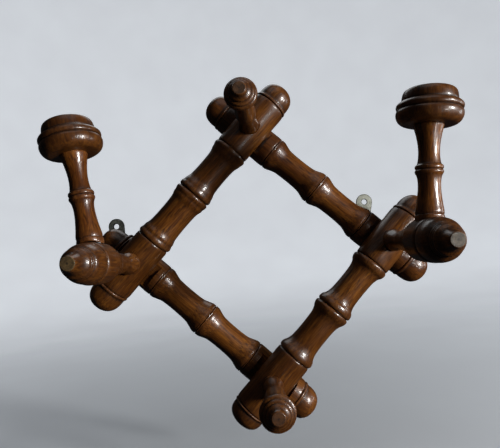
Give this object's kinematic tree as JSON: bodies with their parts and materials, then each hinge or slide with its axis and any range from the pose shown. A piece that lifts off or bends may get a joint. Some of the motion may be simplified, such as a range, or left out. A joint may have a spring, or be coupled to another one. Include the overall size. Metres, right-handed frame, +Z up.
{
  "type": "wall coat and hat rack",
  "caption": "Folding lozenge wall rack of turned imitation-bamboo wood with coat pegs and upright mushroom-headed hat rests on its side pegs.",
  "frame": {"origin": "middle of the lozenge on the wall plane, which is the plane of the hanger plates' back faces", "axes": "+X to the right seen from the front, +Y into the wall, +Z up; the pegs point along -Y"},
  "size_m": [0.3618, 0.207, 0.3597],
  "materials": {
    "bar_wood": "glossy reddish-brown shellac",
    "peg_wood": "glossy reddish-brown shellac, worn pale at the tip",
    "stem_wood": "glossy reddish-brown shellac",
    "wedge_wood": "bare wood",
    "plate_metal": "tarnished, yellow-green grey",
    "screw_metal": "dull"
  },
  "bodies": {
    "upper_rear": {"rear_bar_upper": "bar_wood", "hanger_plate_right": "plate_metal", "hanger_screw_right_1": "screw_metal", "hanger_screw_right_2": "screw_metal", "peg_top": "peg_wood", "peg_top_wedge": "wedge_wood"},
    "upper_front": {"front_bar_upper": "bar_wood"},
    "lower_front": {"front_bar_lower": "bar_wood"},
    "lower_rear": {"rear_bar_lower": "bar_wood", "hanger_plate_left": "plate_metal", "hanger_screw_left_1": "screw_metal", "hanger_screw_left_2": "screw_metal", "peg_bottom": "peg_wood", "peg_bottom_wedge": "wedge_wood"},
    "left_hat_rest": {"peg_left": "peg_wood", "peg_left_wedge": "wedge_wood", "hat_stem_left": "stem_wood", "hat_head_left": "stem_wood"},
    "right_hat_rest": {"peg_right": "peg_wood", "peg_right_wedge": "wedge_wood", "hat_stem_right": "stem_wood", "hat_head_right": "stem_wood"}
  },
  "joints": [
    {"name": "fold", "type": "hinge", "parent": "upper_rear", "child": "upper_front", "pos_m": [0, -0.0455, 0.13306], "axis": [0, 1, 0], "range_deg": [-20, 20]},
    {"name": "right_corner", "type": "hinge", "parent": "upper_rear", "child": "lower_front", "pos_m": [0.13422, -0.0455, 0], "axis": [0, 1, 0], "range_deg": [-20, 20]},
    {"name": "left_corner", "type": "hinge", "parent": "upper_front", "child": "lower_rear", "pos_m": [-0.13422, -0.0455, 0], "axis": [0, 1, 0], "range_deg": [-20, 20]},
    {"name": "left_hat_rest_turn", "type": "hinge", "parent": "lower_rear", "child": "left_hat_rest", "pos_m": [-0.13422, -0.0455, 0], "axis": [0, 1, 0], "range_deg": [-35, 35]},
    {"name": "right_hat_rest_turn", "type": "hinge", "parent": "upper_rear", "child": "right_hat_rest", "pos_m": [0.13422, -0.0455, 0], "axis": [0, 1, 0], "range_deg": [-35, 35]}
  ],
  "couplings": [
    {"joint": "right_corner", "follows": "fold", "ratio": 1},
    {"joint": "left_corner", "follows": "fold", "ratio": -1}
  ]
}
